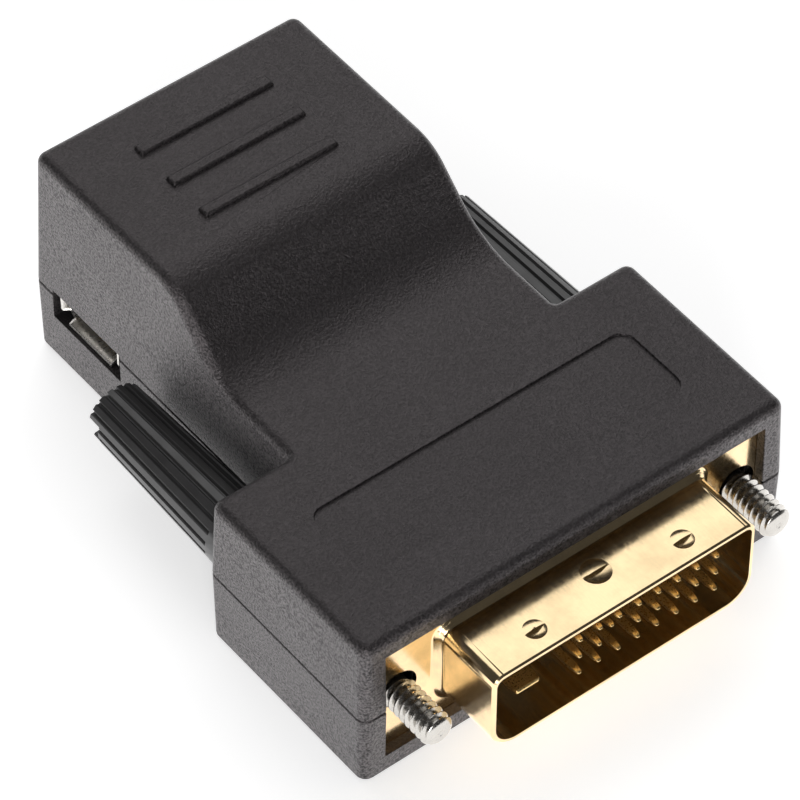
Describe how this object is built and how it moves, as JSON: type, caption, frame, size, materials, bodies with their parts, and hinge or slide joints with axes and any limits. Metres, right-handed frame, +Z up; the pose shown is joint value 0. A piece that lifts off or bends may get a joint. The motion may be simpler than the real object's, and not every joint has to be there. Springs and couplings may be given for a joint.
{
  "type": "dvi extender",
  "caption": "Small adapter that carries a DVI plug with thumbscrews on its front and a network socket on its rear, to send a picture over network cable.",
  "frame": {"origin": "centre of the bounding box's footprint, on the underside of the housing", "axes": "+Z up, +Y from the plug to the network socket, +X to the right as the plug is faced"},
  "size_m": [0.041, 0.0576, 0.022],
  "materials": {
    "housing_plastic": "fine spark-eroded texture",
    "knob_plastic": "satin moulded",
    "gold_shell": "polished gold plating",
    "gold_contact": "gold plated",
    "nickel_shell": "bright nickel plating",
    "plated_steel": "nickel plated thread",
    "insulator_plastic": "glass filled moulding",
    "board_laminate": "solder mask",
    "chip_plastic": "moulded epoxy",
    "ferrite": "sintered",
    "can_metal": "drawn lid",
    "ceramic": "fired ceramic with tinned ends"
  },
  "bodies": {
    "housing": {"upper_shell": "housing_plastic", "lower_shell": "housing_plastic", "plug_shell": "gold_shell", "plug_back_shell": "nickel_shell", "plug_insulator": "insulator_plastic", "plug_contacts_upper": "gold_contact", "plug_contacts_middle": "gold_contact", "plug_contacts_lower": "gold_contact", "ground_blade": "gold_contact", "circuit_board": "board_laminate", "network_socket_shield": "nickel_shell", "network_socket_body": "insulator_plastic", "network_socket_contacts": "gold_contact", "usb_shell": "nickel_shell", "usb_tongue": "insulator_plastic", "usb_contacts": "gold_contact", "main_chip": "chip_plastic", "regulator_chip": "chip_plastic", "power_coil": "ferrite", "crystal_can": "can_metal", "chip_capacitors": "ceramic"},
    "left_thumbscrew": {"left_screw": "plated_steel", "left_knob": "knob_plastic"},
    "right_thumbscrew": {"right_screw": "plated_steel", "right_knob": "knob_plastic"}
  },
  "joints": [
    {"name": "left_screw_turn", "type": "hinge", "parent": "housing", "child": "left_thumbscrew", "pos_m": [-0.0165, 0, 0.0076], "axis": [0, 1, 0], "continuous": true},
    {"name": "right_screw_turn", "type": "hinge", "parent": "housing", "child": "right_thumbscrew", "pos_m": [0.0165, 0, 0.0076], "axis": [0, 1, 0], "continuous": true}
  ]
}
